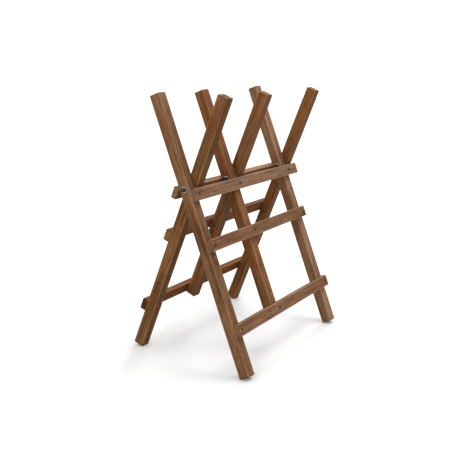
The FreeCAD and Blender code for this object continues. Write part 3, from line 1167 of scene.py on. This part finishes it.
    def make_screws(self, board: Board) -> None:
        """The three screws of one rail, in place.

        Args:
            board: The rail.
        """
        node = f"{board.node}_screws"
        first = self.screw.make()
        screws = [first] + [first.copy() for _ in board.screws[1:]]
        for number, (screw, along) in enumerate(zip(screws, board.screws)):
            spin = Matrix.Rotation(self.seed + number * 1.3, 4, "Z")
            screw.settle(board.frame @ self._across_rail(board, self.screw_sink, along) @ spin)
        first.join(screws[1:])
        first.obj.name = f"{node}_turned"
        steel = self.screw.steel.material(f"{node}_finish", board.seed)
        first.hand_over(node, self.body, "screw_steel", steel)

    def build(self) -> None:
        """Makes the whole frame."""
        for pair in Pair:
            self._leg_board(pair).finish(self._leg_tool, self.leg_stain)
        for level in Level:
            rail = self._rail_board(level)
            rail.finish(self._rail_tool, self.rail_stain)
            self.make_screws(rail)
        log.info("%s frame done", self.side.value)


# Pivots


@dataclass
class PivotSet:
    """The coach bolt, washer and nut of one pair of legs. Sizes are in metres."""

    pair: Pair
    body: str
    seed: float
    # Painted shade and dark reflection: the nut and bolt zinc is made nearly black, while the washer keeps a
    # lighter zinc.
    nut_plate: ZincPlate = ZincPlate((0.045, 0.041, 0.036, 1.0), (0.018, 0.015, 0.012, 1.0), 0.14)
    bolt_plate: ZincPlate = ZincPlate((0.040, 0.036, 0.031, 1.0), (0.018, 0.015, 0.012, 1.0), 0.20)
    washer_plate: ZincPlate = ZincPlate((0.34, 0.33, 0.31, 1.0), (0.10, 0.09, 0.08, 1.0), 0.22)
    lean: float = LEAN
    bolt_length: float = 0.110
    bolt_radius: float = 0.005
    thread_root: float = 0.0041
    thread_length: float = 0.028
    pitch: float = 0.0015
    ridge_width: float = 0.86
    head_radius: float = 0.012
    head_height: float = 0.0053
    head_rim: float = 0.0002
    head_rings: int = 12
    neck_side: float = 0.0099
    neck_length: float = 0.0066
    nut_flats: float = 0.017
    nut_height: float = 0.0084
    nut_face: float = 0.475
    washer_radius: float = 0.0125
    washer_bore: float = 0.00525
    washer_thickness: float = 0.002

    def _place(self, x: float) -> Matrix:
        """A place on the pivot line with local Z along X.

        Args:
            x: How far along it is.

        Returns:
            The placing matrix.
        """
        height = frame["joints"][0]["pos_m"][2]
        turn = Matrix.Rotation(self.lean, 4, "X") @ Matrix.Rotation(math.pi / 2, 4, "Y")
        return Matrix.Translation((x, 0.0, height)) @ turn

    def _fit(self, work: Workpiece, node: str, x: float, plate: ZincPlate, seed: float) -> None:
        """Puts a fastener in its place and hands it over.

        Args:
            work: The fastener, smoothed.
            node: The node that it stands for.
            x: Where its local zero goes.
            plate: Its finish.
            seed: Which blotches it has.
        """
        work.settle(self._place(x))
        work.hand_over(node, self.body, "bolt_zinc", plate.material(f"{node}_finish", seed))

    def _thread(self) -> Workpiece:
        """The raised ridge of the bolt's thread, wound up local Z from the bolt's end.

        Returns:
            The closed ridge.
        """
        Workpiece.clear_bench()
        drawn_height, drawn_width = 0.0009, 0.00104
        bpy.ops.mesh.primitive_circle_add(vertices=3, radius=0.0006, fill_type="NOTHING")
        ridge = Workpiece("thread_ridge")
        turn = Matrix.Rotation(math.pi / 2, 4, "X") @ Matrix.Rotation(-math.pi / 2, 4, "Z")
        height = self.bolt_radius - self.thread_root
        width = self.pitch * self.ridge_width
        ridge.settle(Matrix.Diagonal((height / drawn_height, 1.0, width / drawn_width, 1.0)) @ turn)
        mid_radius = (self.thread_root + self.bolt_radius) / 2
        ridge.settle(Matrix.Translation((mid_radius - 0.00004, 0.0, -self.bolt_length + 0.0016)))
        turns = int((self.thread_length - 0.002) / self.pitch)
        steps = {"iterations": turns, "steps": 32, "render_steps": 32}
        ridge.apply("SCREW", axis="Z", angle=2 * math.pi, screw_offset=self.pitch, **steps)
        ridge.mend(longest_gap=4)
        return ridge

    def make_bolt(self) -> None:
        """The coach bolt, its head's underside at local zero."""
        node = f"pivot_bolt_{self.pair.value}"
        ball = (self.head_radius**2 + self.head_height**2) / (2 * self.head_height)
        depth = ball - self.head_height
        dome = [(0.0, self.head_radius - self.head_rim), (self.head_rim, self.head_radius)]
        for number in range(1, self.head_rings):
            share = number / self.head_rings
            radius = self.head_radius * math.cos(share * math.pi / 2)
            dome.append((math.sqrt(ball**2 - radius**2) - depth + self.head_rim * (1 - share), radius))
        dome.append((self.head_height, 0.0002))
        head = Workpiece.turned(f"{node}_forged", 56, dome)
        half = self.neck_side / 2
        foot, top = Vector((-half, -half, -self.neck_length)), Vector((half, half, 0.0002))
        neck = Workpiece.block("neck", foot, top)
        neck.choose("EDGE", lambda ends: abs(ends[0].z - ends[1].z) > 0.005)
        bpy.ops.mesh.bevel(offset=0.0005, segments=3, affect="EDGES")
        neck.leave_edit()
        end = -self.bolt_length
        stations = [
            (end, self.thread_root - 0.0004),
            (end + 0.0006, self.thread_root),
            (end + self.thread_length, self.thread_root),
            (end + self.thread_length + 0.0009, self.bolt_radius),
            (-self.neck_length + 0.001, self.bolt_radius),
        ]
        head.join([neck, Workpiece.turned("shank", 40, stations), self._thread()])
        head.smooth()
        self._fit(head, node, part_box(node)[1][0] - self.head_height, self.bolt_plate, self.seed)

    def make_nut(self) -> None:
        """The hexagon nut, chamfered at both ends and countersunk at its bore."""
        node = f"pivot_nut_{self.pair.value}"
        height = self.nut_height
        nut = Workpiece.rod(f"{node}_forged", 6, self.nut_flats / math.sqrt(3), 0.0, height)
        nut.settle(Matrix.Rotation(math.pi / 2, 4, "Z"))
        narrow, wide = self.nut_flats * self.nut_face, self.nut_flats * 0.60
        rise = (wide - narrow) / math.sqrt(3)
        shell = [(0.0, narrow), (rise, wide), (height - rise, wide), (height, narrow)]
        nut.carve(Workpiece.turned("nut_chamfer", 72, shell), "INTERSECT")
        bore = self.bolt_radius + 0.00005
        mouth = bore + 0.0008
        hole = [(-0.0002, mouth), (0.0007, bore), (height - 0.0007, bore), (height + 0.0002, mouth)]
        nut.carve(Workpiece.turned("nut_bore", 40, hole))
        nut.apply("BEVEL", width=0.00012, segments=2, limit_method="ANGLE", angle_limit=math.radians(25))
        nut.smooth()
        self._fit(nut, node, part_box(node)[0][0], self.nut_plate, self.seed + 1.0)

    def make_washer(self) -> None:
        """The wide washer, with one stamped edge rounder than the other."""
        node = f"nut_washer_{self.pair.value}"
        top = self.washer_thickness
        washer = Workpiece.rod(f"{node}_stamped", 72, self.washer_radius, 0.0, top)
        washer.choose("FACE", lambda corners: len(corners) > 4)
        bpy.ops.mesh.inset(thickness=self.washer_radius - self.washer_bore)
        inside = self.washer_bore + 1e-4
        washer.choose("FACE", lambda corners: all(corner.xy.length < inside for corner in corners))
        bpy.ops.mesh.bridge_edge_loops()
        washer.leave_edit()
        for level, size in ((0.0, 0.0005), (top, 0.0002)):
            washer.choose(
                "EDGE",
                lambda ends: all(abs(corner.z - level) < 1e-6 for corner in ends)
                and abs(ends[0].xy.length - ends[1].xy.length) < 1e-5,
            )
            bpy.ops.mesh.bevel(offset=size, segments=3, affect="EDGES")
            washer.leave_edit()
        washer.mend()
        washer.smooth()
        self._fit(washer, node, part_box(node)[0][0], self.washer_plate, self.seed + 2.0)

    def build(self) -> None:
        """Makes the bolt, nut and washer."""
        self.make_bolt()
        self.make_nut()
        self.make_washer()
        log.info("%s pivot done", self.pair.value)


# Studio


@dataclass(frozen=True)
class Lamp:
    """A soft square light: its place and side in metres and its power in watts."""

    name: str
    place: tuple[float, float, float]
    power: float
    side: float


@dataclass
class Studio:
    """The floor, lights and camera. Places are in metres, angles in degrees, film and lens in millimetres."""

    floor_size: float = 30.0
    floor_level: float = -0.0004
    floor: PaleFloor = PaleFloor()
    sky: float = 1.7
    lamps: tuple[Lamp, ...] = (
        Lamp("key_light", (0.9, -1.6, 4.2), 90.0, 1.8),
        Lamp("fill_light", (-7.8, 0.4, 4.0), 300.0, 5.0),
        Lamp("rim_light", (3.3, 1.1, 3.0), 110.0, 1.4),
        Lamp("glint_light", (-4.7, -0.85, 3.15), 45.0, 0.5),
    )
    lit_height: float = 0.55
    azimuth: float = -57.987
    elevation: float = 11.472
    roll: float = -0.561
    distance: float = 3.247
    aim: tuple[float, float, float] = (0.0878, 0.0774, 0.5728)
    film: float = 36.0
    lens: float = 56.52766
    upright_shift: float = -0.074468085

    def make_floor(self) -> None:
        """A wide flat plane."""
        Workpiece.clear_bench()
        bpy.ops.mesh.primitive_plane_add(size=self.floor_size, location=(0.0, 0.0, self.floor_level))
        floor = Workpiece("studio_floor")
        floor.fix_place()
        floor.obj.data.materials.append(self.floor.material())

    def make_sky(self) -> None:
        """An even white surround."""
        world = bpy.data.worlds.new("studio_surround")
        world.use_nodes = True
        backdrop = world.node_tree.nodes["Background"]
        backdrop.inputs["Color"].default_value = (1.0, 1.0, 1.0, 1.0)
        backdrop.inputs["Strength"].default_value = self.sky
        bpy.context.scene.world = world
        bpy.context.scene.view_settings.view_transform = "Standard"

    def make_light(self, lamp: Lamp) -> None:
        """Sets up one light, aimed at the middle of the horse.

        Args:
            lamp: The light.
        """
        data = bpy.data.lights.new(lamp.name, "AREA")
        data.energy = lamp.power
        data.size = lamp.side
        light = bpy.data.objects.new(lamp.name, data)
        bpy.context.collection.objects.link(light)
        light.location = lamp.place
        towards = Vector((0.0, 0.0, self.lit_height)) - Vector(lamp.place)
        light.rotation_euler = towards.to_track_quat("-Z", "Y").to_euler()

    def make_camera(self) -> None:
        """The camera, which looks a little downwards and is shifted upright a little for the framing."""
        turn, rise, roll = (math.radians(value) for value in (self.azimuth, self.elevation, self.roll))
        back = Vector((math.sin(turn) * math.cos(rise), -math.cos(turn) * math.cos(rise), math.sin(rise)))
        right = (-back).cross(Vector((0.0, 0.0, 1.0))).normalized()
        down = (-back).cross(right)
        right, down = (
            math.cos(roll) * right + math.sin(roll) * down,
            -math.sin(roll) * right + math.cos(roll) * down,
        )
        data = bpy.data.cameras.new("studio_camera")
        data.sensor_width = self.film
        data.lens = self.lens
        data.shift_y = self.upright_shift
        camera = bpy.data.objects.new("studio_camera", data)
        bpy.context.collection.objects.link(camera)
        turn_matrix = Matrix((right, -down, back)).transposed().to_4x4()
        camera.matrix_world = Matrix.Translation(Vector(self.aim) + back * self.distance) @ turn_matrix
        bpy.context.scene.camera = camera

    def build(self) -> None:
        """Sets up the whole studio."""
        self.make_floor()
        self.make_sky()
        for lamp in self.lamps:
            self.make_light(lamp)
        self.make_camera()
        log.info("studio done")


def main() -> None:
    """Builds the horse and its studio in order."""
    logging.basicConfig(level=logging.INFO, format="%(message)s")
    TimberFrame(Side.FRONT, "front_frame", seed=1.0).build()
    TimberFrame(Side.REAR, "rear_frame", seed=40.0).build()
    for number, pair in enumerate(Pair):
        PivotSet(pair, "rear_frame", seed=80.0 + 5.0 * number).build()
    Studio().build()


if __name__ == "__main__":
    main()
